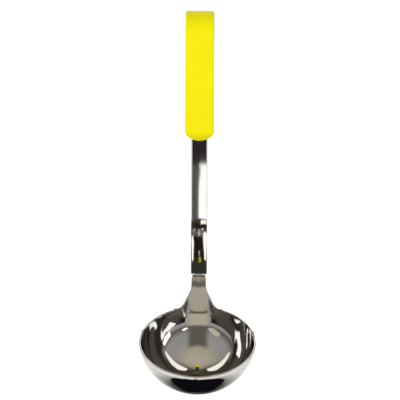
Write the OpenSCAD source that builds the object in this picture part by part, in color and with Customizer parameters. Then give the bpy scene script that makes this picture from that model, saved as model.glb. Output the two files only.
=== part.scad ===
// Soup ladle: a pressed steel bowl with a flared neck, a welded strip shank and a moulded grip with a hook.
// The rim lies level, the shank stands upright behind the bowl, and the hook bends back over the top.
// The origin is the seat inside the hook, where the ladle hangs from a rail.

/* [Bowl] */
// Outer radius of the bowl at its rim
bowl_r = 48; // [40:0.5:60]
// Depth of the bowl from the rim to the outside of its base
bowl_depth = 42.5; // [38:0.5:50]
// Thickness of the bowl's sheet
bowl_wall = 1.6; // [1:0.1:2.4]

/* [Neck] */
// Angle of the neck, leaning back from upright
neck_tilt = 30; // [20:1:36]
// Height of the neck's top edge above the rim
neck_height = 21; // [18:0.5:30]
// Depth below the rim where the neck's flat pad leaves the bowl's wall
pad_depth = 7; // [4:0.5:10]
// Width of the flat pad
pad_w = 16; // [13:0.5:20]
// Radius of the rounded flanks on each side of the pad
flank_r = 6; // [4:0.5:8]
// Width of the neck at its top edge
neck_top_w = 12.3; // [11:0.1:14]
// Width of the neck where it meets the rim
neck_root_w = 26; // [22:0.5:28]
// Length of the neck's even upper stretch before it flares
neck_even = 9; // [6:0.5:12]

/* [Shank] */
// Width of the shank strip
shank_w = 13.4; // [12:0.1:16]
// Thickness of the shank strip
shank_t = 2.2; // [1.6:0.1:3]
// Inside radius of the tight bend at the foot of the shank
foot_bend_r = 3; // [2:0.5:5]
// Length of the foot that laps behind the neck
foot_len = 15; // [12:0.5:18]
// Width of the foot
foot_w = 11; // [9:0.1:11.5]
// Height of the strip's shoulders above the bend
foot_shoulder = 0.5; // [0.2:0.1:2]
// Gap between the neck's top edge and the start of the bend
foot_gap = 0.4; // [0.2:0.1:1]

/* [Spot welds] */
// Diameter of each weld nugget
weld_d = 4; // [3:0.5:5]
// Depth of a nugget in each of the two sheets
weld_depth = 0.6; // [0.4:0.1:0.8]
// Distance between the two nuggets
weld_pitch = 7; // [6:0.5:8]

/* [Grip] */
// Height of the grip's lowest point above the rim
grip_bottom = 156; // [140:1:180]
// Height of the centre of the hook's bend above the rim
hook_height = 253; // [230:1:290]
// Width of the grip at its lower end
grip_w = 22.8; // [20:0.1:26]
// Width of the grip at its top
grip_top_w = 22; // [20:0.1:26]
// Plastic in front of the tang
grip_front = 3; // [2:0.1:4]
// Plastic behind the tang
grip_back = 2.8; // [2:0.1:4]
// Radius of the rounded lower end, seen from the front
grip_end_r = 13.4; // [12:0.1:18]
// Radius of the gap inside the hook
hook_r = 7; // [6:0.5:10]
// Straight length of the hook's free leg
hook_leg = 13; // [8:0.5:18]
// Plastic past the end of the tang
tang_cover = 4; // [3:0.5:5]
// Diameter of the holes that lock the plastic to the tang
lock_hole_d = 5; // [4:0.5:6]
// Distance between the lock holes
lock_pitch = 26; // [20:1:28]
// Number of lock holes
lock_holes = 3; // [1:1:3]

/* [Hidden] */
$fn = 96;
over = 1; // how far a cutting shape runs past what it cuts
foot_steps = 8; // flats round the bend at the foot
hook_steps = 36; // flats round the strip's hook

// The bowl is the cap of a ball whose centre lies a little above the rim.
ball_r = (pow(bowl_r, 2) + pow(bowl_depth, 2)) / (2 * bowl_depth);
ball_z = ball_r - bowl_depth;
below_rim = 2 * (bowl_r + bowl_depth);

// The neck's front plane starts on the bowl's inner wall and leans back to its top edge.
pad_y = sqrt(pow(ball_r - bowl_wall, 2) - pow(pad_depth + ball_z, 2));
neck_y = pad_y + tan(neck_tilt) * (neck_height + pad_depth);
neck_len = neck_height / cos(neck_tilt);
pad_len = (neck_height + pad_depth) / cos(neck_tilt);
channel_rise = 3 * flank_r;

// The foot lies on the back of the neck, and the bend brings the strip upright.
bend_run = foot_bend_r * tan(neck_tilt / 2);
knee_y = neck_y + bowl_wall * cos(neck_tilt) + (foot_gap + bend_run) * sin(neck_tilt);
knee_z = neck_height - bowl_wall * sin(neck_tilt) + (foot_gap + bend_run) * cos(neck_tilt);
foot_bend_y = knee_y - foot_bend_r;
foot_bend_z = knee_z + bend_run;

// The hook bends back round one centre, which the grip and the tang share.
grip_t = grip_front + shank_t + grip_back;
grip_y = knee_y - grip_front;
hook_y = grip_y + grip_t + hook_r;
tang_r = hook_r + grip_back;
grip_top = hook_height + hook_r + grip_t;
first_lock = grip_bottom + grip_end_r + lock_hole_d;

module placed() {
    translate([0, -hook_y, -hook_height - hook_r]) children();
}

module onNeck() {
    translate([0, neck_y, neck_height]) rotate([90 - neck_tilt, 0, 0]) children();
}

// A flat shape drawn in Y and Z, extruded evenly to both sides of the middle plane
module sideways(width) {
    rotate([90, 0, 90]) linear_extrude(width, center = true) children();
}

// The part of a ring that lies between two angles less than a half turn apart
module ringSector(inner, outer, from, to) {
    reach = 2 * outer;
    middle = (from + to) / 2;
    intersection() {
        difference() {
            circle(outer);
            circle(inner);
        }
        polygon([[0, 0],
                 reach * [cos(from), sin(from)],
                 reach * [cos(middle), sin(middle)],
                 reach * [cos(to), sin(to)]]);
    }
}

module underRim() {
    translate([0, 0, -below_rim / 2]) cube(below_rim, center = true);
}

module bowlVolume(inset) {
    intersection() {
        translate([0, 0, ball_z]) sphere(ball_r - inset);
        underRim();
    }
}

// The open channel in front of the neck, grown outward by a margin and run past its ends by a spare length
module channel(margin, spare) {
    half = pad_w / 2;
    rise = channel_rise + spare;
    onNeck() translate([0, over + spare, 0]) rotate([90, 0, 0])
        linear_extrude(pad_len + flank_r + over + 2 * spare) {
            translate([-half, -margin]) square([pad_w, rise + margin]);
            for (side = [-1, 1]) translate([side * half, flank_r]) circle(flank_r + margin);
            translate([-half - flank_r - margin, flank_r])
                square([pad_w + 2 * (flank_r + margin), rise - flank_r]);
        }
}

module neckOutline() {
    top = neck_top_w / 2;
    root = neck_root_w / 2;
    polygon([[-top, 0], [-top, -neck_even], [-root, -neck_len], [-root, -pad_len],
             [root, -pad_len], [root, -neck_len], [top, -neck_even], [top, 0]]);
}

module weldNuggets() {
    middle = -foot_len / 2;
    onNeck() for (side = [-1, 1])
        translate([0, middle + side * weld_pitch / 2, -bowl_wall])
            cylinder(h = 2 * weld_depth, d = weld_d, center = true);
}

function arcPoints(centre, radius, from, to, steps) =
    [for (i = [0:steps])
        let(angle = from + (to - from) * i / steps) centre + radius * [cos(angle), sin(angle)]];

// The whole strip from the side: up the back of the foot, bend, straight length and hook, and down the front
module stripProfile() {
    foot_centre = [foot_bend_y, foot_bend_z];
    hook_centre = [hook_y, hook_height];
    foot_run = -(foot_len + foot_gap) * [sin(neck_tilt), cos(neck_tilt)];
    leg_run = [0, tang_cover - hook_leg];
    foot_back = arcPoints(foot_centre, foot_bend_r + shank_t, -neck_tilt, 0, foot_steps);
    hook_inside = arcPoints(hook_centre, tang_r, 180, 0, hook_steps);
    hook_outside = arcPoints(hook_centre, tang_r + shank_t, 0, 180, hook_steps);
    foot_front = arcPoints(foot_centre, foot_bend_r, 0, -neck_tilt, foot_steps);
    polygon(concat([foot_back[0] + foot_run], foot_back,
                   hook_inside, [hook_inside[hook_steps] + leg_run],
                   [hook_outside[0] + leg_run], hook_outside,
                   foot_front, [foot_front[foot_steps] + foot_run]));
}

module strip() {
    sideways(shank_w) stripProfile();
}

// The waste beside the foot and the bend, up to the strip's shoulders
module footSides() {
    waste = shank_w;
    for (side = [-1, 1])
        translate([side * (foot_w + waste) / 2, knee_y, foot_bend_z + foot_shoulder - 2 * foot_len])
            cube([waste, 2 * (foot_len + shank_t), 4 * foot_len], center = true);
}

module lockHoles() {
    for (i = [0:lock_holes - 1])
        translate([0, knee_y - over, first_lock + i * lock_pitch])
            rotate([-90, 0, 0]) cylinder(h = shank_t + 2 * over, d = lock_hole_d);
}

module bowl() {
    color("silver") placed() difference() {
        intersection() {
            union() {
                bowlVolume(0);
                channel(bowl_wall, 0);
            }
            union() {
                underRim();
                onNeck() translate([0, 0, -2 * bowl_wall])
                    linear_extrude(channel_rise + 2 * bowl_wall + over) neckOutline();
            }
        }
        bowlVolume(bowl_wall);
        channel(0, over);
        weldNuggets();
    }
}

module shank() {
    color("silver") placed() difference() {
        strip();
        footSides();
        weldNuggets();
        lockHoles();
    }
}

module spot_welds() {
    color("gray") placed() weldNuggets();
}

module gripProfile() {
    translate([grip_y, grip_bottom]) square([grip_t, hook_height - grip_bottom]);
    translate([hook_y, hook_height]) {
        ringSector(hook_r, hook_r + grip_t, 0, 90);
        ringSector(hook_r, hook_r + grip_t, 90, 180);
        translate([hook_r, -hook_leg]) square([grip_t, hook_leg]);
    }
}

module gripOutline() {
    low = grip_w / 2;
    high = grip_top_w / 2;
    corner = grip_end_r - sqrt(pow(grip_end_r, 2) - pow(low, 2));
    intersection() {
        polygon([[-low, grip_bottom], [low, grip_bottom], [high, grip_top + over], [-high, grip_top + over]]);
        union() {
            translate([0, grip_bottom + grip_end_r]) circle(grip_end_r);
            translate([-grip_w, grip_bottom + corner]) square([2 * grip_w, grip_top]);
        }
    }
}

module grip() {
    color("yellow") placed() difference() {
        intersection() {
            sideways(grip_w) gripProfile();
            translate([0, grip_y + 4 * hook_r + 2 * grip_t, 0]) rotate([90, 0, 0])
                linear_extrude(5 * hook_r + 4 * grip_t) gripOutline();
        }
        difference() {
            strip();
            lockHoles();
        }
    }
}

bowl();
shank();
spot_welds();
grip();
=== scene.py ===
import math
import bmesh
import bpy
from mathutils import Matrix, Quaternion, Vector


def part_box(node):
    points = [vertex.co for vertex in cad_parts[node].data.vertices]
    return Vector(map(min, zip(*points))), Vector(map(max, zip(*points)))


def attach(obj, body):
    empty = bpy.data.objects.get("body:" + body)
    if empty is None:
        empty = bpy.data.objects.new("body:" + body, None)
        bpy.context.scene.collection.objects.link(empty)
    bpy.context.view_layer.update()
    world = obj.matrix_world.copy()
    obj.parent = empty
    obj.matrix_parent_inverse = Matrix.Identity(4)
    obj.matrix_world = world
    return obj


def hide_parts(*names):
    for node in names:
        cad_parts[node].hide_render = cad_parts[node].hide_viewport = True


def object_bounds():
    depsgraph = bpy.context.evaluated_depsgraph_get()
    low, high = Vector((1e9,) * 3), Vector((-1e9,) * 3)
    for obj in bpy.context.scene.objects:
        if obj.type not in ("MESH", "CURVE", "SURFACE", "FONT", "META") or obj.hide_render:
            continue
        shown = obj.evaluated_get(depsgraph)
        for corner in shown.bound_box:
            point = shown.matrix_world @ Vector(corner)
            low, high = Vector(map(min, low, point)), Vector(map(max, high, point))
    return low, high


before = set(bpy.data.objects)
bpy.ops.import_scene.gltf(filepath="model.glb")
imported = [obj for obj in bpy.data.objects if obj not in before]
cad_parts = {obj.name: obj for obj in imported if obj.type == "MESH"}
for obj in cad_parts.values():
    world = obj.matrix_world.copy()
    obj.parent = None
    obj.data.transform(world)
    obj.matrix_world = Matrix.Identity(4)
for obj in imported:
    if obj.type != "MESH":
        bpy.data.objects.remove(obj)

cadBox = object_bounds()
mm = 0.001

# The CAD pieces' boxes, which place everything below
bowlLow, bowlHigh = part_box("bowl")
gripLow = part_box("grip")[0]


def deselectAll():
    if bpy.context.object and bpy.context.object.mode != "OBJECT":
        bpy.ops.object.mode_set(mode="OBJECT")
    bpy.ops.object.select_all(action="DESELECT")


def editPiece(piece):
    deselectAll()
    piece.select_set(True)
    bpy.context.view_layer.objects.active = piece
    bpy.ops.object.mode_set(mode="EDIT")
    bpy.ops.mesh.select_mode(type="FACE")
    bpy.ops.mesh.select_all(action="DESELECT")


def leaveEdit():
    bpy.ops.object.mode_set(mode="OBJECT")


def pickFaces(piece, test):
    bpy.ops.mesh.select_mode(type="FACE")
    mesh = bmesh.from_edit_mesh(piece.data)
    for face in mesh.faces:
        face.select_set(bool(test(face)))
    mesh.select_flush_mode()
    bmesh.update_edit_mesh(piece.data)


def pickEdges(piece, test):
    bpy.ops.mesh.select_mode(type="EDGE")
    mesh = bmesh.from_edit_mesh(piece.data)
    for edge in mesh.edges:
        edge.select_set(bool(test(edge)))
    bmesh.update_edit_mesh(piece.data)


def pushOut(offset):
    bpy.ops.mesh.extrude_region_move(TRANSFORM_OT_translate={"value": offset})


def pushStraight(length):      # short steps at both ends keep the long faces between them flat
    end = math.copysign(0.4 * mm, length)
    for part in (end, length - 2 * end, end):
        pushOut((0, 0, part))


def applyModifier(piece, kind, **settings):
    deselectAll()
    piece.select_set(True)
    bpy.context.view_layer.objects.active = piece
    modifier = piece.modifiers.new(kind, kind)
    for name, value in settings.items():
        setattr(modifier, name, value)
    bpy.ops.object.modifier_apply(modifier=modifier.name)


def finishPiece(piece, material, slotName, *nodes):
    piece.data.materials.clear()
    piece.data.materials.append(material)
    deselectAll()
    piece.select_set(True)
    bpy.context.view_layer.objects.active = piece
    bpy.ops.object.shade_smooth()
    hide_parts(*nodes)
    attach(piece, "root")
    print("made", piece.name, len(piece.data.polygons), "faces")


# Materials

def newMaterial(name):
    material = bpy.data.materials.new(name)
    material.use_nodes = True
    nodes = material.node_tree.nodes
    return material, nodes, material.node_tree.links, nodes["Principled BSDF"]


def mathNode(nodes, links, operation, *values):      # each value is a number or another node's output
    node = nodes.new("ShaderNodeMath")
    node.operation = operation
    for slot, value in zip(node.inputs, values):
        if isinstance(value, (int, float)):
            slot.default_value = value
        else:
            links.new(value, slot)
    return node.outputs[0]


def objectPlace(nodes):
    return nodes.new("ShaderNodeTexCoord").outputs["Object"]


def noiseNode(nodes, links, place, scale, detail):
    noise = nodes.new("ShaderNodeTexNoise")
    noise.inputs["Scale"].default_value = scale
    noise.inputs["Detail"].default_value = detail
    links.new(place, noise.inputs["Vector"])
    return noise.outputs["Fac"]


def softShare(nodes, links, along, start, end, most=1.0):      # 0 to the most, with soft ends
    share = nodes.new("ShaderNodeMapRange")
    share.interpolation_type = "SMOOTHSTEP"
    share.inputs["From Min"].default_value = start
    share.inputs["From Max"].default_value = end
    share.inputs["To Max"].default_value = most
    links.new(along, share.inputs["Value"])
    return share.outputs["Result"]


def addTint(nodes, links, shader, cloud, look):      # soft clouds between two close colours
    tint = nodes.new("ShaderNodeValToRGB")
    for element, position, color in zip(tint.color_ramp.elements, (0.35, 0.65), (look["darker"], look["color"])):
        element.position = position
        element.color = (*color, 1)
    links.new(cloud, tint.inputs["Fac"])
    links.new(tint.outputs["Color"], shader.inputs["Base Color"])


def roughRange(nodes, links, noise, look):
    rough = nodes.new("ShaderNodeMapRange")
    rough.inputs["To Min"].default_value = look["roughLow"]
    rough.inputs["To Max"].default_value = look["roughHigh"]
    links.new(noise, rough.inputs["Value"])
    return rough.outputs["Result"]


def addBump(nodes, links, shader, height, look):
    bump = nodes.new("ShaderNodeBump")
    bump.inputs["Strength"].default_value = look["bump"]
    bump.inputs["Distance"].default_value = look["bumpDepth"]
    links.new(height, bump.inputs["Height"])
    links.new(bump.outputs["Normal"], shader.inputs["Normal"])


steelLook = {
    "color": (0.67, 0.66, 0.64),
    "darker": (0.62, 0.61, 0.59),
    "roughLow": 0.02,
    "roughHigh": 0.06,
    "cloudScale": 60.0,
    "lineScale": (2200.0, 2200.0, 90.0),      # polishing lines along Z
    "bump": 0.004,
    "bumpDepth": 0.1 * mm,
}
neckLook = {
    **steelLook,
    "softRough": 0.22,      # duller towards the neck, between these distances back and up from the rim's middle
    "softBack": (33 * mm, 42 * mm),
    "softUp": (-12 * mm, -2 * mm),
}


def polishedSteel(name, look):
    material, nodes, links, shader = newMaterial(name)
    shader.inputs["Metallic"].default_value = 1.0
    place = objectPlace(nodes)
    addTint(nodes, links, shader, noiseNode(nodes, links, place, look["cloudScale"], 4.0), look)
    stretch = nodes.new("ShaderNodeMapping")
    stretch.inputs["Scale"].default_value = look["lineScale"]
    links.new(place, stretch.inputs["Vector"])
    lines = noiseNode(nodes, links, stretch.outputs["Vector"], 1.0, 3.0)
    finish = roughRange(nodes, links, lines, look)
    if "softRough" in look:
        axes = nodes.new("ShaderNodeSeparateXYZ")
        links.new(place, axes.inputs[0])
        backSpan = [bowlCentre.y + d for d in look["softBack"]]
        upSpan = [bowlCentre.z + d for d in look["softUp"]]
        back = softShare(nodes, links, axes.outputs["Y"], *backSpan, look["softRough"])
        up = softShare(nodes, links, axes.outputs["Z"], *upSpan)
        finish = mathNode(nodes, links, "MAXIMUM", finish, mathNode(nodes, links, "MULTIPLY", back, up))
    links.new(finish, shader.inputs["Roughness"])
    addBump(nodes, links, shader, lines, look)
    return material


gripLook = {
    "color": (0.91, 0.82, 0.002),
    "darker": (0.88, 0.79, 0.002),
    "specular": 0.06,
    "roughLow": 0.22,
    "roughHigh": 0.34,
    "cloudScale": 45.0,
    "grainScale": 1500.0,
    "bump": 0.03,
    "bumpDepth": 0.2 * mm,
}


def moulded(name, look):
    material, nodes, links, shader = newMaterial(name)
    shader.inputs["Specular IOR Level"].default_value = look["specular"]
    place = objectPlace(nodes)
    cloud = noiseNode(nodes, links, place, look["cloudScale"], 3.0)
    addTint(nodes, links, shader, cloud, look)
    links.new(roughRange(nodes, links, cloud, look), shader.inputs["Roughness"])
    addBump(nodes, links, shader, noiseNode(nodes, links, place, look["grainScale"], 2.0), look)
    return material


steel = polishedSteel("polishedSteel", steelLook)
yellowPlastic = moulded("yellowPlastic", gripLook)
print("materials ready")


# Bowl: the lower part of a ball, from a cube, with the neck drawn up from the back of its rim. Heights are
# above the rim

bowlShape = {
    "depth": 42.5 * mm,
    "wall": 1.6 * mm,
    "cuts": 23,             # cuts across each face of the starting cube
    "rootColumns": 5,       # columns each side of the middle that run up into the neck
    "padTilt": math.radians(23),     # lean of the neck's flat front, which runs smoothly out of the wall
    "padCurl": 15 * mm,     # height over which it goes from the wall's curve to flat
    "padLine": -5.6 * mm,   # height of the pressed line under the pad, its depth and its width
    "padLineDepth": 0.3 * mm,
    "padLineRun": 1.3 * mm,
    "padLineEnds": 2 * mm,  # how far the line has risen at this distance from the middle
    "padLineHalf": 8 * mm,
    "padTop": 13 * mm,      # height where the neck starts to lean back to its upper strap
    "padTopRun": 6 * mm,
    "padTopWave": 0.22,     # how much softer that bend is halfway to each side
    "padTopHalf": 7 * mm,
    "padHalf": 7.2 * mm,    # half the pad's width at the rim, and how fast it narrows upwards
    "padTaper": 0.11,
    "flankSlope": 1.15,     # steepness and least width of the turn from the pad to the wall
    "flankWidth": 5 * mm,
    "topHalf": 6.15 * mm,   # half the neck's width at its top, and its widening below this height
    "flareStart": 12.2 * mm,
    "flareSlope": 0.56,
    "flareSoft": 1.2 * mm,
    "filletWidth": 4.2 * mm,      # the curve from the neck's edge into the rim
    "filletHeight": 0.9 * mm,
    "topInset": 1.4 * mm,   # from the back of the CAD neck's top to its front
    "rows": (0.5, 1.0, 1.7, 2.6, 3.8, 5.4, 7.4, 9.6, 11.6, 13.4, 15.4, 17.6, 19.4),
    "lip": 0.7 * mm,        # height of the rounded lip along the sheet's edge, and how much more at the front
    "lipFront": 0.6,
    "lipCuts": 7,
    "lipFullness": 2.6,     # 2 is a half round, more is squarer
    "lipFade": 5 * mm,      # how far below the rim the wall is moved to make room for the lip
    "lipNeck": 4 * mm,      # how far beside the neck the lip grows to its full height
    "bead": 0.4 * mm,       # how much thicker the sheet's edge is at the front, and over which height
    "beadRun": 2 * mm,
}
rimZ = bowlLow.z + bowlShape["depth"]
ballRadius = (bowlHigh.x ** 2 + bowlShape["depth"] ** 2) / (2 * bowlShape["depth"])
ballCentre = Vector((0, 0, ballRadius - bowlShape["depth"]))      # measured from the rim's centre
innerRadius = ballRadius - bowlShape["wall"]
bowlCentre = Vector((0, bowlLow.y + bowlHigh.x, rimZ))
neckTop = bowlHigh.z - rimZ
neckTopBack = bowlHigh.y - bowlCentre.y - bowlShape["topInset"]


def ontoBall(place):
    return ballCentre + (place - ballCentre).normalized() * innerRadius


def wallBack(x, z):      # how far behind the bowl's axis the plain wall lies
    return math.sqrt(max(0.0, innerRadius ** 2 - (ballCentre.z - z) ** 2 - x * x))


def ramp(value):         # 0 to 1 with soft ends
    share = min(1.0, max(0.0, value))
    return share * share * (3 - 2 * share)


def leanStart(shape):    # height where the wall leans as the pad does
    return ballCentre.z - innerRadius * math.sin(shape["padTilt"])


def strapRise(z, run, shape):      # grows from the pad's top, and counts as height on the strap
    share = min(1.0, max(0.0, (z - shape["padTop"]) / run))
    return run * (share ** 3 - share ** 4 / 2) + max(0.0, z - shape["padTop"] - run)


def neckLine(x, z, shape):         # the neck's front, measured back from the bowl's axis
    start = leanStart(shape)
    slope = math.tan(shape["padTilt"])
    lineHeight = shape["padLine"] + shape["padLineEnds"] * (abs(x) / shape["padLineHalf"]) ** 4
    line = shape["padLineDepth"] * ramp((z - lineHeight) / shape["padLineRun"] + 0.5)
    pad = wallBack(0, start) + slope * (z - start) + line
    padAtTop = wallBack(0, start) + slope * (neckTop - start) + shape["padLineDepth"]
    extra = (neckTopBack - padAtTop) / strapRise(neckTop, shape["padTopRun"], shape)
    wave = math.sin(math.pi * min(1.0, abs(x) / shape["padTopHalf"])) ** 2
    run = shape["padTopRun"] * (1 + shape["padTopWave"] * wave)
    return pad + extra * strapRise(z, run, shape)


def neckBack(x, z, shape):         # the pad, and the flanks that turn forward from it to the plain wall
    start = leanStart(shape)
    curl = (wallBack(x, start) - wallBack(0, start)) * (1 - ramp((z - start) / shape["padCurl"]))
    wall = wallBack(x, z)
    drop = neckLine(x, z, shape) + curl - wall
    past = max(0.0, abs(x) - shape["padHalf"] + shape["padTaper"] * z)
    return wall + drop * (1 - ramp(past / math.hypot(shape["flankWidth"], 1.5 * drop / shape["flankSlope"])))


def neckHalf(z, shape):            # half the neck's width
    soft = shape["flareSoft"]
    flare = soft * math.log1p(math.exp((shape["flareStart"] - z) / soft))
    fillet = shape["filletWidth"] * math.exp(-z / shape["filletHeight"])
    return shape["topHalf"] + shape["flareSlope"] * flare + fillet


def lipHeight(place, shape):
    return shape["lip"] * (1 + shape["lipFront"] * ramp(-place.y / bowlHigh.x))


def addThickness(piece, shape):      # a second skin behind the first, joined by a rounded lip
    applyModifier(piece, "SOLIDIFY", thickness=shape["wall"], offset=1.0, use_even_offset=False, use_rim=False)
    editPiece(piece)
    mesh = bmesh.from_edit_mesh(piece.data)
    skins = list(mesh.verts)
    count = len(skins) // 2
    for vertex in skins[:count]:
        lipFoot = vertex.co.z + lipHeight(vertex.co, shape)
        share = ramp(-vertex.co.y / bowlHigh.x) * ramp(1 + lipFoot / shape["beadRun"])
        vertex.co.xy -= vertex.co.xy.normalized() * shape["bead"] * share
    steps = shape["lipCuts"] + 1
    full = shape["lipFullness"]
    edges = [e for e in mesh.edges if e.is_boundary and e.verts[0].index < count]
    chains = {}
    for vertex in sorted({v for e in edges for v in e.verts}, key=lambda v: v.index):
        outer = skins[vertex.index + count]
        onward = Vector()
        for edge in vertex.link_edges:
            if not edge.is_boundary:
                onward += (vertex.co - edge.other_vert(vertex).co).normalized()
        onward = onward.normalized() * lipHeight(vertex.co, shape)
        chain = [vertex]
        for step in range(1, steps):
            across = -math.cos(math.pi * step / steps)
            height = (1 - abs(across) ** full) ** (1 / full)
            chain.append(mesh.verts.new(vertex.co.lerp(outer.co, (1 + across) / 2) + onward * height))
        chains[vertex] = chain + [outer]
    for edge in edges:
        first, second = (chains[v] for v in edge.verts)
        for step in range(steps):
            mesh.faces.new((first[step], first[step + 1], second[step + 1], second[step]))
    bmesh.update_edit_mesh(piece.data)
    bpy.ops.mesh.select_all(action="SELECT")
    bpy.ops.mesh.normals_make_consistent(inside=False)
    leaveEdit()
    print("lip joined round", len(edges), "edges")


def makeBowl(shape):
    deselectAll()
    bpy.ops.mesh.primitive_cube_add(size=2)
    bowl = bpy.context.object
    bowl.name = "bowlShell"
    editPiece(bowl)
    bpy.ops.mesh.select_all(action="SELECT")
    bpy.ops.mesh.subdivide(number_cuts=shape["cuts"])
    bpy.ops.transform.tosphere(value=1)
    bpy.ops.mesh.bisect(plane_co=(0, 0, 0), plane_no=(0, 0, 1), clear_outer=True)
    leaveEdit()
    rimRadius = wallBack(0, 0)
    spread = bowl.data.vertices[0].co.length      # the ball's radius, which the operator chose
    editPiece(bowl)
    bpy.ops.mesh.select_all(action="SELECT")
    bpy.ops.transform.resize(value=(rimRadius / spread, rimRadius / spread, (innerRadius - ballCentre.z) / spread),
                             center_override=(0, 0, 0))
    leaveEdit()
    for vertex in bowl.data.vertices:
        if abs(vertex.co.z) > 1e-6:
            vertex.co = ontoBall(vertex.co)
    rimPoints = sorted(v.co.x for v in bowl.data.vertices if abs(v.co.z) < 1e-6 and v.co.y > 0 and v.co.x >= -1e-6)
    rootHalf = rimPoints[shape["rootColumns"]]
    reach = rootHalf + 1e-5
    editPiece(bowl)
    pickEdges(bowl, lambda e: e.is_boundary and all(v.co.y > 0 and abs(v.co.x) < reach for v in e.verts))
    rowBelow = 0.0
    halfBelow = rootHalf
    for row in [r * mm for r in shape["rows"]] + [neckTop - shape["lip"]]:
        half = neckHalf(row, shape) - shape["lip"]
        pushOut((0, 0, row - rowBelow))
        bpy.ops.transform.resize(value=(half / halfBelow, 1, 1), center_override=(0, 0, 0))
        rowBelow = row
        halfBelow = half
    leaveEdit()
    applyModifier(bowl, "SUBSURF", levels=2, render_levels=2, boundary_smooth="PRESERVE_CORNERS")
    for vertex in bowl.data.vertices:
        place = vertex.co.copy()
        aside = 1.0 if place.y < 0 else ramp((abs(place.x) - rootHalf) / shape["lipNeck"] + 1)
        if place.z < 1e-6:
            place = ontoBall(place)
        if -shape["lipFade"] < place.z < 1e-5:
            place.z -= lipHeight(place, shape) * aside * (1 + min(0.0, place.z) / shape["lipFade"])
            place.xy = place.xy.normalized() * wallBack(0, place.z)
        if place.y > 0:
            inside = place.z < leanStart(shape)
            place.y = wallBack(place.x, place.z) if inside else neckBack(place.x, place.z, shape)
        vertex.co = place
    addThickness(bowl, shape)
    bowl.data.transform(Matrix.Translation(bowlCentre))
    return bowl


bowlPiece = makeBowl(bowlShape)
finishPiece(bowlPiece, polishedSteel("bowlSteel", neckLook), "bowl_steel", "bowl")


# Shank: one strip section pushed up, turned over the hook, and turned and pushed down at the foot

hookShape = {
    "gapRadius": 7 * mm,
    "leg": 13 * mm,
    "tangCover": 4 * mm,
    "gripBack": 2.8 * mm,
    "gripFront": 3 * mm,
}
shankShape = {
    "width": 13.4 * mm,
    "thickness": 2.2 * mm,
    "corner": 0.3 * mm,
    "crown": 0.03 * mm,
    "footWidth": 11 * mm,
    "footLength": 15.4 * mm,
    "footSteps": 14,
    "footGap": 0.05 * mm,
    "bendRadius": 3 * mm,
}
hookCentre = Vector((0, 0, -hookShape["gapRadius"]))


def roundedSection(width, thickness, corner, crown, frontY, cornerSteps=6, sideSteps=14):
    points = []
    halfW = width / 2
    corners = [(-1, 1, 90), (-1, -1, 180), (1, -1, 270), (1, 1, 0)]
    for sideX, sideY, start in corners:
        for i in range(cornerSteps + 1):
            angle = math.radians(start + 90 * i / cornerSteps)
            x = sideX * (halfW - corner) + corner * math.cos(angle)
            y = sideY * (thickness / 2 - corner) + corner * math.sin(angle)
            points.append((x, y))
        nextX, nextY, nextStart = corners[(corners.index((sideX, sideY, start)) + 1) % 4]
        endX = nextX * (halfW - corner) + corner * math.cos(math.radians(nextStart))
        endY = nextY * (thickness / 2 - corner) + corner * math.sin(math.radians(nextStart))
        lastX, lastY = points[-1]
        if abs(endX - lastX) > abs(endY - lastY):
            for i in range(1, sideSteps):
                share = i / sideSteps
                points.append((lastX + (endX - lastX) * share, lastY + (endY - lastY) * share))
    crowned = []
    for x, y in points:      # the front is crowned more than the back
        dip = crown * (x / halfW) ** 2
        y = y + dip if y < 0 else y - dip * 0.4
        crowned.append(Vector((x, frontY + thickness / 2 + y, 0)))
    return crowned


def startSection(name, points):
    deselectAll()
    bpy.ops.mesh.primitive_circle_add(vertices=len(points), radius=1, fill_type="NGON")
    piece = bpy.context.object
    piece.name = name
    for vertex, point in zip(piece.data.vertices, points):
        vertex.co = point
    editPiece(piece)
    bpy.ops.mesh.select_all(action="SELECT")
    return piece


def makeShank(shape, hook):
    frontY = -(hook["gapRadius"] + hook["gripBack"] + shape["thickness"])
    low = 0.2 * mm
    lean = math.atan((neckLine(0, neckTop, bowlShape) - neckLine(0, neckTop - low, bowlShape)) / low)
    wall = bowlShape["wall"]
    past = (frontY - bowlCentre.y - neckTopBack - wall * math.cos(lean)) / math.sin(lean)
    kneeZ = bowlHigh.z - wall * math.sin(lean) + past * math.cos(lean)
    bendZ = kneeZ + shape["bendRadius"] * math.tan(lean / 2)
    bendCentre = Vector((0, frontY - shape["bendRadius"], bendZ))
    section = [p + Vector((0, 0, bendZ)) for p in
               roundedSection(shape["width"], shape["thickness"], shape["corner"], shape["crown"], frontY)]
    strip = startSection("shankStrip", section)
    pushStraight(hookCentre.z - bendZ)
    bpy.ops.mesh.spin(steps=24, angle=math.pi, center=hookCentre, axis=(1, 0, 0))
    pushStraight(hook["tangCover"] - hook["leg"])
    pickFaces(strip, lambda f: len(f.verts) > 8 and f.calc_center_median().z < bendZ + 1e-6
              and f.calc_center_median().y < 0)
    bpy.ops.mesh.spin(steps=10, angle=lean, center=bendCentre, axis=(1, 0, 0))
    down = Vector((0, -math.sin(lean), -math.cos(lean)))
    for step in range(shape["footSteps"]):
        pushOut(down * shape["footLength"] / shape["footSteps"])
    bpy.ops.mesh.select_all(action="SELECT")
    bpy.ops.mesh.remove_doubles(threshold=1e-6)
    bpy.ops.mesh.normals_make_consistent(inside=False)
    leaveEdit()
    bendEnd = bendCentre + Vector((0, math.cos(lean), -math.sin(lean))) * shape["bendRadius"]
    for vertex in strip.data.vertices:
        if vertex.co.z < bendZ - 1e-6:
            vertex.co.x *= shape["footWidth"] / shape["width"]
        along = (vertex.co - bendEnd).dot(down)
        if along > 1e-6 and vertex.co.z < bendZ:
            through = (vertex.co - bendEnd).dot(Vector((0, math.cos(lean), -math.sin(lean))))
            vertex.co.yz = onNeckBack(along, through + shape["footGap"]).yz
    return strip


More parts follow.
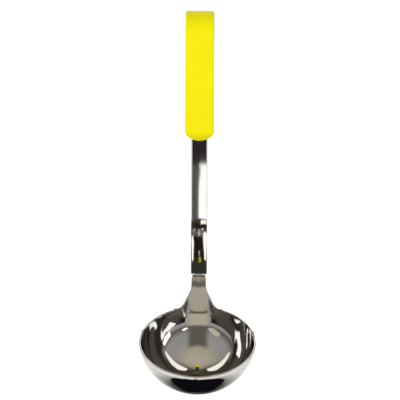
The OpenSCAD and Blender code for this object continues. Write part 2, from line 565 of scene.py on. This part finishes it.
def onNeckBack(along, through):    # a place behind the neck, reached by going down it from its top edge
    z = neckTop
    step = 0.1 * mm
    while True:
        lean = math.atan((neckLine(0, z, bowlShape) - neckLine(0, z - step, bowlShape)) / step)
        if along < step:
            break
        z -= step * math.cos(lean)
        along -= step
    z -= along * math.cos(lean)
    out = Vector((0, math.cos(lean), -math.sin(lean))) * (bowlShape["wall"] + through)
    return bowlCentre + Vector((0, neckLine(0, z, bowlShape), z)) + out


shankPiece = makeShank(shankShape, hookShape)
finishPiece(shankPiece, steel, "shank_steel", "shank")


# Grip: a rounded section pushed up from its curved lower end and turned over into the hook

gripShape = {
    "width": 23.3 * mm,     # across the lower end and across the hook
    "topWidth": 22.6 * mm,
    "corner": 1.5 * mm,
    "crown": 0.12 * mm,
    "endRadius": 13.4 * mm,
    "endRise": 1.0 * mm,    # how far the end stays above the lowest point of the CAD grip
    "endStretch": 10 * mm,  # length of the faces that carry the rounded end
}


def makeGrip(shape, hook):
    thickness = hook["gripFront"] + shankShape["thickness"] + hook["gripBack"]
    width = shape["width"]
    frontY = -(hook["gapRadius"] + thickness)
    section = roundedSection(width, thickness, shape["corner"], shape["crown"], frontY, cornerSteps=8)
    lowest = gripLow.z + shape["endRise"]
    stretch = shape["endStretch"]
    grip = startSection("gripBody", [p + Vector((0, 0, lowest + stretch)) for p in section])
    pushStraight(hookCentre.z - lowest - stretch)
    bpy.ops.mesh.spin(steps=32, angle=math.pi, center=hookCentre, axis=(1, 0, 0))
    pushStraight(-hook["leg"])
    pickFaces(grip, lambda f: len(f.verts) > 8 and f.calc_center_median().y < 0)
    pushOut((0, 0, -stretch))
    bpy.ops.mesh.delete(type="ONLY_FACE")
    leaveEdit()
    for vertex in grip.data.vertices:
        place = vertex.co
        if place.z < lowest + 1e-5:
            place.z = lowest + shape["endRadius"] - math.sqrt(shape["endRadius"] ** 2 - place.x ** 2)
        share = ramp((place.z - lowest) / -lowest)
        place.x *= 1 + share * (shape["topWidth"] / width - 1)
    editPiece(grip)
    pickEdges(grip, lambda e: e.is_boundary and not all(abs(v.co.x) > width / 2 - 1e-5 for v in e.verts))
    bpy.ops.mesh.bridge_edge_loops()
    bpy.ops.mesh.select_all(action="SELECT")
    bpy.ops.mesh.normals_make_consistent(inside=False)
    leaveEdit()
    return grip


gripPiece = makeGrip(gripShape, hookShape)
finishPiece(gripPiece, yellowPlastic, "grip_plastic", "grip")


# Spot welds: two shallow pressed marks on the back of the foot

weldShape = {
    "radius": 2.0 * mm,
    "places": (4.0 * mm, 11.0 * mm),    # down the foot from the neck's top edge
    "rise": 0.22 * mm,
    "dish": 0.35 * mm,
    "edge": 0.12 * mm,      # bevel round the mark
    "insets": (0.2, 0.25),  # steps in to the dish, as parts of the radius
}
weldLook = {
    "color": (0.36, 0.34, 0.31),
    "darker": (0.22, 0.20, 0.18),
    "roughLow": 0.30,
    "roughHigh": 0.50,
    "cloudScale": 900.0,
    "lineScale": (1600.0, 1600.0, 1600.0),
    "bump": 0.05,
    "bumpDepth": 0.1 * mm,
}


def makeWelds(shape):
    deselectAll()
    marks = []
    for place in shape["places"]:
        bpy.ops.mesh.primitive_cylinder_add(vertices=40, radius=shape["radius"], depth=2 * shape["rise"])
        mark = bpy.context.object
        editPiece(mark)
        pickFaces(mark, lambda f: f.normal.z > 0.9)
        for inset in shape["insets"]:
            bpy.ops.mesh.inset(thickness=inset * shape["radius"])
        bpy.ops.transform.translate(value=(0, 0, -shape["dish"]))
        pickEdges(mark, lambda e: all(v.co.z > 0 and v.co.xy.length > 0.95 * shape["radius"] for v in e.verts))
        bpy.ops.mesh.bevel(offset=shape["edge"], segments=3, affect="EDGES")
        leaveEdit()
        centre = onNeckBack(place, shankShape["thickness"] + shankShape["footGap"])
        inner = onNeckBack(place, 0)
        turn = (centre - inner).to_track_quat("Z", "Y")
        mark.data.transform(Matrix.Translation(centre) @ turn.to_matrix().to_4x4())
        marks.append(mark)
    deselectAll()
    for mark in marks:
        mark.select_set(True)
    bpy.context.view_layer.objects.active = marks[0]
    bpy.ops.object.join()
    marks[0].name = "weldMarks"
    return marks[0]


weldPiece = makeWelds(weldShape)
finishPiece(weldPiece, polishedSteel("dullWeld", weldLook), "weld_steel", "spot_welds")


# Studio

studio = {
    "floorDrop": 300 * mm,
    "floorSize": 20.0,
    "floorColor": (0.86, 0.86, 0.85),
    "floorGlow": 0.4,
    "ambient": 0.70,
    "keyPower": 21.0,
    "keySize": 1.2,
    "keyPlace": (-0.7, -2.2, 0.5),
    "keyAim": (0, 0, -0.15),
}


def lightPathMix(tree, shown, hidden, target):      # one shader for what is seen and mirrored, one for the light
    nodes, links = tree.nodes, tree.links
    path = nodes.new("ShaderNodeLightPath")
    seen = mathNode(nodes, links, "MAXIMUM", path.outputs["Is Camera Ray"], path.outputs["Is Glossy Ray"])
    seen = mathNode(nodes, links, "MAXIMUM", seen, path.outputs["Is Transmission Ray"])
    mix = nodes.new("ShaderNodeMixShader")
    links.new(seen, mix.inputs["Fac"])
    links.new(hidden.outputs[0], mix.inputs[1])
    links.new(shown.outputs[0], mix.inputs[2])
    links.new(mix.outputs[0], target)


def makeWorld(look):
    world = bpy.data.worlds.new("studioWorld")
    bpy.context.scene.world = world
    world.use_nodes = True
    tree = world.node_tree
    tree.nodes.clear()
    out = tree.nodes.new("ShaderNodeOutputWorld")
    white = tree.nodes.new("ShaderNodeBackground")
    white.inputs["Color"].default_value = (1, 1, 1, 1)
    plain = tree.nodes.new("ShaderNodeBackground")
    plain.inputs["Color"].default_value = (1, 1, 1, 1)
    plain.inputs["Strength"].default_value = look["ambient"]
    lightPathMix(tree, white, plain, out.inputs["Surface"])


def makeFloor(look):
    deselectAll()
    bpy.ops.mesh.primitive_plane_add(size=look["floorSize"], location=(0, 0, cadBox[0].z - look["floorDrop"]))
    floor = bpy.context.object
    floor.name = "floor"
    material, nodes, links, shader = newMaterial("paleFloor")
    shader.inputs["Base Color"].default_value = (*look["floorColor"], 1)
    shader.inputs["Roughness"].default_value = 0.9
    glow = nodes.new("ShaderNodeEmission")
    glow.inputs["Strength"].default_value = look["floorGlow"]
    both = nodes.new("ShaderNodeAddShader")
    links.new(shader.outputs[0], both.inputs[0])
    links.new(glow.outputs[0], both.inputs[1])
    lightPathMix(material.node_tree, both, shader, nodes["Material Output"].inputs["Surface"])
    floor.data.materials.append(material)


def makeKey(look):
    light = bpy.data.lights.new("keyLight", "AREA")
    light.energy = look["keyPower"]
    light.shape = "RECTANGLE"
    light.size = light.size_y = look["keySize"]
    key = bpy.data.objects.new("keyLight", light)
    bpy.context.scene.collection.objects.link(key)
    key.location = look["keyPlace"]
    key.rotation_mode = "QUATERNION"
    aim = Vector(look["keyAim"]) - key.location
    key.rotation_quaternion = aim.to_track_quat("-Z", "Y")
    key.visible_glossy = False


# Tent, cards and bands that only the steel reflects, placed round the middle of the bowl's rim. Angles are in
# degrees, with azimuth 0 towards the camera and 90 to the right. Sizes are in metres, colours are light values

tentLook = {
    "radius": 1.9,
    "front": (          # elevation and color, in front, at the sides and behind
        (-90, (0.95, 0.95, 0.93)), (-3, (0.95, 0.95, 0.93)), (3, (0.62, 0.56, 0.44)), (14, (0.62, 0.56, 0.44)),
        (19, (0.17, 0.15, 0.125)), (55, (0.15, 0.135, 0.11)), (63, (0.52, 0.48, 0.36)), (90, (0.60, 0.55, 0.42))),
    "side": (
        (-90, (0.95, 0.95, 0.93)), (-3, (0.95, 0.95, 0.93)), (3, (0.44, 0.43, 0.42)), (13, (0.42, 0.41, 0.41)),
        (19, (0.14, 0.12, 0.11)), (30, (0.38, 0.38, 0.38)), (50, (0.42, 0.41, 0.39)), (62, (0.50, 0.47, 0.37)),
        (90, (0.60, 0.55, 0.42))),
    "back": (
        (-90, (0.95, 0.95, 0.93)), (5, (0.95, 0.95, 0.93)), (13, (0.80, 0.79, 0.76)), (20, (0.07, 0.05, 0.04)),
        (66, (0.08, 0.06, 0.045)), (76, (0.45, 0.40, 0.30)), (90, (0.60, 0.55, 0.42))),
    "sideSpan": (0.20, 0.45),       # where the sides and the back take over, as parts of the radius
    "backSpan": (0.10, 0.45),
    "again": (0.36, 0.32, 0.30),    # how much of its upper part is left once steel reflects steel
}
cardLook = {
    "distance": 1.7,
    "aimed": {          # corners as azimuth and elevation, light, and the reflections before it
        "backRightCard": (((99, 26.5), (110, 33), (123, 39), (137, 46), (146, 55), (148, 60), (143, 62.5), (129, 58),
                           (115, 49), (105, 40), (97, 30)), (1.35, 1.30, 1.2), 1),
        "backLeftCard": (((-99, 26.5), (-110, 33), (-123, 39), (-137, 46), (-146, 55), (-148, 60), (-143, 62.5),
                          (-129, 58), (-115, 49), (-105, 40), (-97, 30)), (1.35, 1.30, 1.2), 1),
        "behindCard": (((160, 14), (200, 14), (199, 38), (192, 46), (168, 46), (161, 38)), (1.7, 1.7, 1.65), 1),
        "frontRightCard": (((20.5, 20.8), (26, 19), (36, 21), (31, 23.8), (26, 22.5)), (2.6, 2.6, 2.6), 1),
        "sideRightCard": (((62, 12), (64, 20), (76, 22), (90, 23), (89, 18), (76, 14)), (2.4, 2.4, 2.4), 1),
        "frontLeftCard": (((-21, 20), (-33, 17), (-52, 22), (-52, 27), (-42, 30), (-28, 27)), (0.70, 0.65, 0.53), 1),
        "tongueLeftCard": (((135, 15), (161, 15), (161, 30), (158, 41), (152, 52), (142, 64), (126, 65), (118, 63),
                            (126, 54), (135, 45)), (2.6, 2.6, 2.6), 2),
        "tongueRightCard": (((188, 3), (225, 3), (235, 64), (215, 66), (206, 65), (197, 52), (191, 38), (188, 20)),
                            (2.6, 2.6, 2.6), 2),
        "darkTopCard": (tuple((turn, 68) for turn in range(0, 360, 30)), (0.055, 0.070, 0.062), 2),
        "shankCard": (((3, 52), (45, 52), (75, 60), (85, 77), (20, 83)), (3.6, 3.6, 3.6), 3),
    },
    "bandDistance": 100 * mm,
    "bands": {          # azimuth with its lowest and highest elevation, light, and the reflections before it
        "rightBand": (((-84, 37, 40), (-70, 35.5, 43), (-55, 35, 46), (-45, 35, 46), (-40, 34, 43), (-36, 32, 41.5),
                       (-30, 33, 41), (-25, 36, 40.5), (-15, 37.5, 40), (-2, 40, 40.6)), 2.3, 2),
        "rightThinBand": (((-46, 15.5, 17), (-40, 18.5, 21), (-34, 22, 25.5), (-28, 26, 29), (-19, 30.5, 32.5)),
                          2.3, 2),
        "leftBand": (((31, 29.5, 31.5), (36, 27, 30.5), (40, 22.5, 29.5), (44, 19, 25), (49, 15.5, 21), (54, 15, 18),
                      (58, 14.5, 16.5)), 2.3, 2),
        "leftRimBand": (((16, 29, 31), (22, 26.5, 28.5), (30, 22, 24), (38, 17.5, 19)), 2.0, 2),
        "rightInnerBand": (((-50, 37, 40), (-35, 36, 40.5), (-30, 34, 40.5), (-24, 36.5, 38.5)), 3.4, 3),
        "rightLowBand": (((-46, 25.5, 28.5), (-38, 28.5, 31.5), (-33, 31.5, 35.5), (-29, 33.5, 37)), 3.4, 3),
        "leftLongBand": (((-26, 41.5, 43.5), (-10, 40.8, 42.3), (5, 38.3, 40), (18, 34.5, 36.5), (30, 29.5, 31.5),
                          (40, 25, 27), (53, 19.5, 21.5)), 3.0, 3),
        "rightGreyBand": (((-45, 28, 42), (-20, 33, 43), (0, 37, 43)), 3.2, 4),
    },
    "lying": {          # corners measured in metres from the bowl's axis, height above the floor, light
        "blackUnder": (((-0.19, -0.49), (0.19, -0.49), (0.195, -0.05), (0.108, 0.02), (0.047, 0.090), (0, 0.062),
                        (-0.045, 0.086), (-0.104, 0.01), (-0.197, -0.07)), 0.004, (0.006, 0.005, 0.008)),
        "oliveFront": (((-0.05, -0.618), (-0.0138, -0.618), (-0.0138, -0.50), (-0.05, -0.50)), 0.006,
                       (0.12, 0.12, 0.10)),
        "brownFront": (((-0.0138, -0.618), (-0.0100, -0.618), (-0.0106, -0.568), (-0.0095, -0.50), (-0.0138, -0.50)),
                       0.006, (0.10, 0.06, 0.055)),
        "whiteFront": (((-0.0100, -0.618), (0.05, -0.618), (0.05, -0.50), (-0.0095, -0.50), (-0.0106, -0.568)),
                       0.006, (1.7, 1.7, 1.7)),
        "greyWedge": (((-0.0102, -0.610), (-0.0050, -0.610), (-0.0098, -0.570)), 0.008, (0.50, 0.50, 0.52)),
        "blackFar": (((-0.05, -0.75), (0.05, -0.75), (0.05, -0.618), (-0.05, -0.618)), 0.006, (0.03, 0.02, 0.03)),
    },
    "under": {          # the grey round the black card: half width and half length, its middle, and its fade
        "radius": (0.28, 0.42),
        "middle": -0.10,
        "lift": 0.002,
        "reach": 1.6,
        "fade": ((0.55, (0.07, 0.075, 0.065)), (1.0, (0.95, 0.95, 0.93))),
    },
}


def glowing(name):
    material, nodes, links, shader = newMaterial(name)
    nodes.remove(shader)
    glow = nodes.new("ShaderNodeEmission")
    links.new(glow.outputs[0], nodes["Material Output"].inputs["Surface"])
    return material, nodes, links, glow


def onlyReflected(piece, material):
    piece.data.materials.append(material)
    for sight in ("camera", "diffuse", "transmission", "volume_scatter", "shadow"):
        setattr(piece, "visible_" + sight, False)


def heightRamp(nodes, links, level, stops):
    node = nodes.new("ShaderNodeValToRGB")
    ramp = node.color_ramp
    while len(ramp.elements) < len(stops):
        ramp.elements.new(0.5)
    for element, (elevation, color) in zip(ramp.elements, stops):
        element.position = 0.5 + 0.5 * math.sin(math.radians(elevation))
        element.color = (*color, 1)
    links.new(level, node.inputs["Fac"])
    return node.outputs["Color"]


def makeTent(look):
    deselectAll()
    bpy.ops.mesh.primitive_uv_sphere_add(segments=64, ring_count=32, radius=look["radius"], location=bowlCentre)
    tent = bpy.context.object
    tent.name = "tent"
    bpy.ops.object.shade_smooth()
    material, nodes, links, glow = glowing("tentCloth")
    unit = nodes.new("ShaderNodeVectorMath")
    unit.operation = "NORMALIZE"
    links.new(objectPlace(nodes), unit.inputs[0])
    axes = nodes.new("ShaderNodeSeparateXYZ")
    links.new(unit.outputs[0], axes.inputs[0])
    level = nodes.new("ShaderNodeMapRange")
    level.inputs["From Min"].default_value = -1
    links.new(axes.outputs["Z"], level.inputs["Value"])
    aside = mathNode(nodes, links, "ABSOLUTE", axes.outputs["X"])
    color = heightRamp(nodes, links, level.outputs[0], look["front"])
    for part, along in (("side", aside), ("back", axes.outputs["Y"])):
        mix = nodes.new("ShaderNodeMix")
        mix.data_type = "RGBA"
        links.new(softShare(nodes, links, along, *look[part + "Span"]), mix.inputs["Factor"])
        links.new(color, mix.inputs["A"])
        links.new(heightRamp(nodes, links, level.outputs[0], look[part]), mix.inputs["B"])
        color = mix.outputs["Result"]
    path = nodes.new("ShaderNodeLightPath")
    again = mathNode(nodes, links, "GREATER_THAN", path.outputs["Ray Depth"], 1.5)
    upper = mathNode(nodes, links, "GREATER_THAN", axes.outputs["Z"], 0)
    dim = nodes.new("ShaderNodeMix")
    dim.data_type = "RGBA"
    dim.blend_type = "MULTIPLY"
    links.new(mathNode(nodes, links, "MULTIPLY", again, upper), dim.inputs["Factor"])
    links.new(color, dim.inputs["A"])
    dim.inputs["B"].default_value = (*look["again"], 1)
    links.new(dim.outputs["Result"], glow.inputs["Color"])
    onlyReflected(tent, material)


def seenAfter(times, nodes, links, glow):      # only in light that steel has reflected so many times
    path = nodes.new("ShaderNodeLightPath")
    match = mathNode(nodes, links, "COMPARE", path.outputs["Ray Depth"], times, 0.5)
    clear = nodes.new("ShaderNodeBsdfTransparent")
    mix = nodes.new("ShaderNodeMixShader")
    links.new(match, mix.inputs["Fac"])
    links.new(clear.outputs[0], mix.inputs[1])
    links.new(glow.outputs[0], mix.inputs[2])
    links.new(mix.outputs[0], nodes["Material Output"].inputs["Surface"])


def addCard(name, corners, light, times=None):
    deselectAll()
    bpy.ops.mesh.primitive_circle_add(vertices=len(corners), radius=1, fill_type="NGON")
    card = bpy.context.object
    card.name = name
    for vertex, corner in zip(card.data.vertices, corners):
        vertex.co = corner
    material, nodes, links, glow = glowing(name + "Cloth")
    glow.inputs["Color"].default_value = (*light, 1)
    if times:
        seenAfter(times, nodes, links, glow)
    onlyReflected(card, material)
    return nodes, links, glow


def aimed(azimuth, elevation, distance):
    across, up = math.radians(azimuth), math.radians(elevation)
    toward = Vector((math.sin(across) * math.cos(up), -math.cos(across) * math.cos(up), math.sin(up)))
    return bowlCentre + toward * distance


def addBand(name, edges, light, times, distance):      # a curved strip near the rim
    deselectAll()
    steps = len(edges) - 1
    bpy.ops.mesh.primitive_grid_add(x_subdivisions=steps, y_subdivisions=1, size=1)
    band = bpy.context.object
    band.name = name
    for vertex in band.data.vertices:
        azimuth, low, high = edges[round((vertex.co.x + 0.5) * steps)]
        vertex.co = aimed(azimuth, high if vertex.co.y > 0 else low, distance)
    material, nodes, links, glow = glowing(name + "Cloth")
    glow.inputs["Color"].default_value = (light, light, light, 1)
    seenAfter(times, nodes, links, glow)
    onlyReflected(band, material)


def makeCards(look):
    for name, (corners, light, times) in look["aimed"].items():
        addCard(name, [aimed(*corner, look["distance"]) for corner in corners], light, times)
    for name, (edges, light, times) in look["bands"].items():
        addBand(name, edges, light, times, look["bandDistance"])
    floorZ = cadBox[0].z - studio["floorDrop"]
    for name, (corners, lift, light) in look["lying"].items():
        addCard(name, [Vector((x, bowlCentre.y + y, floorZ + lift)) for x, y in corners], light)
    addUnder(look["under"], floorZ)


def addUnder(look, floorZ):
    halfWidth, halfLength = look["radius"]
    middle = Vector((0, bowlCentre.y + look["middle"], floorZ + look["lift"]))
    edge = [middle + Vector((x * halfWidth, y * halfLength, 0)) * look["reach"] for x, y in
            ((-1, -1), (1, -1), (1, 1), (-1, 1))]
    nodes, links, glow = addCard("greyUnder", edge, look["fade"][0][1])
    squash = nodes.new("ShaderNodeMapping")
    squash.vector_type = "TEXTURE"
    squash.inputs["Location"].default_value = middle
    squash.inputs["Scale"].default_value = (halfWidth, halfLength, 1)
    links.new(objectPlace(nodes), squash.inputs["Vector"])
    spread = nodes.new("ShaderNodeVectorMath")
    spread.operation = "LENGTH"
    links.new(squash.outputs["Vector"], spread.inputs[0])
    fade = nodes.new("ShaderNodeValToRGB")
    for element, (position, color) in zip(fade.color_ramp.elements, look["fade"]):
        element.position = position
        element.color = (*color, 1)
    links.new(spread.outputs["Value"], fade.inputs["Fac"])
    links.new(fade.outputs["Color"], glow.inputs["Color"])


makeWorld(studio)
makeFloor(studio)
makeKey(studio)
makeTent(tentLook)
makeCards(cardLook)
print("studio ready")


# Camera, fitted to the photograph's outline of the bowl, shank and grip

cameraFit = {
    "distance": 2701.8 * mm,
    "elevation": 35.158,
    "azimuth": -0.822,
    "focalPixels": 3317.7,
    "aimFromRim": (0.741 * mm, 60.0 * mm, 98.8 * mm),
    "roll": 0.231,
    "imagePixels": 400,
    "sensor": 36.0,
}


def makeCamera(fit):
    data = bpy.data.cameras.new("photoCamera")
    camera = bpy.data.objects.new("photoCamera", data)
    bpy.context.scene.collection.objects.link(camera)
    elevation = math.radians(fit["elevation"])
    azimuth = math.radians(fit["azimuth"])
    forward = Vector((math.sin(azimuth) * math.cos(elevation),
                      math.cos(azimuth) * math.cos(elevation), -math.sin(elevation)))
    camera.location = bowlCentre + Vector(fit["aimFromRim"]) - forward * fit["distance"]
    camera.rotation_mode = "QUATERNION"
    roll = Quaternion((0, 0, 1), math.radians(fit["roll"]))
    camera.rotation_quaternion = forward.to_track_quat("-Z", "Y") @ roll
    data.sensor_width = fit["sensor"]
    data.lens = fit["focalPixels"] / fit["imagePixels"] * fit["sensor"]
    data.clip_start = 0.01
    data.clip_end = 50.0
    bpy.context.scene.camera = camera


makeCamera(cameraFit)
bpy.context.scene.view_settings.view_transform = "Standard"
